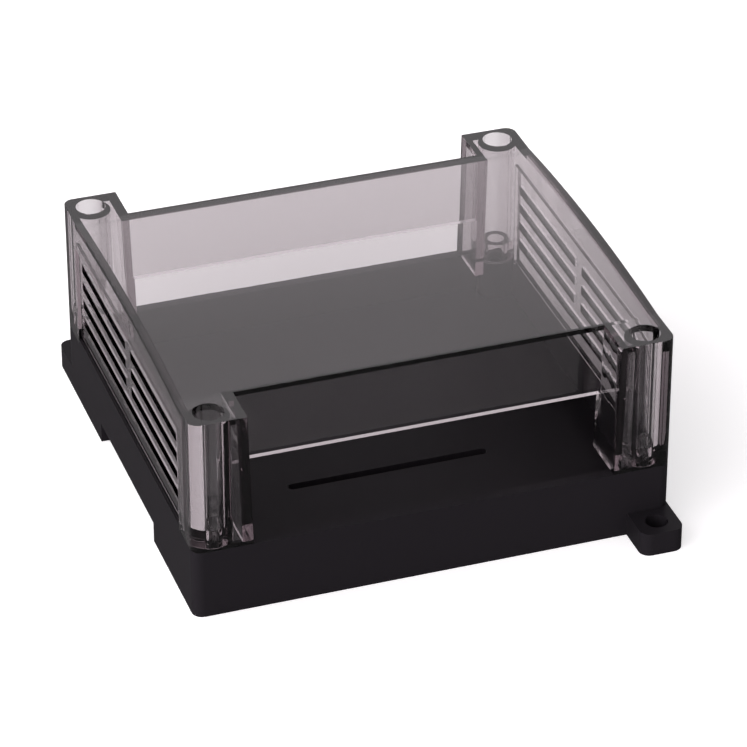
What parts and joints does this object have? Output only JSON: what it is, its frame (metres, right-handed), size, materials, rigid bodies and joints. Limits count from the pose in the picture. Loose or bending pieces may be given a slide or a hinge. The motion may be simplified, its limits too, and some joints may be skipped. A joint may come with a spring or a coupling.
{
  "type": "din rail enclosure",
  "caption": "Clear smoked cover with hollow corner posts, slotted ends and an arched roof on a black rail-mount base with ears and a sliding clip.",
  "frame": {"origin": "middle of the footprint, on the plane that the base stands on", "axes": "+X along the rail, +Y towards the release clip, +Z away from the rail, through the roof"},
  "size_m": [0.09, 0.0988, 0.0414],
  "materials": {
    "smoked_cover": "clear smoked polycarbonate, polished",
    "black_base": "black moulded ABS, low gloss",
    "clip_plastic": "black moulded plastic, matt"
  },
  "bodies": {
    "case": {"cover": "smoked_cover", "base": "black_base"},
    "clip": {"rail_clip": "clip_plastic"}
  },
  "joints": [
    {"name": "clip_slide", "type": "slide", "parent": "case", "child": "clip", "axis": [0, 1, 0], "range_m": [0, 0.004]}
  ]
}
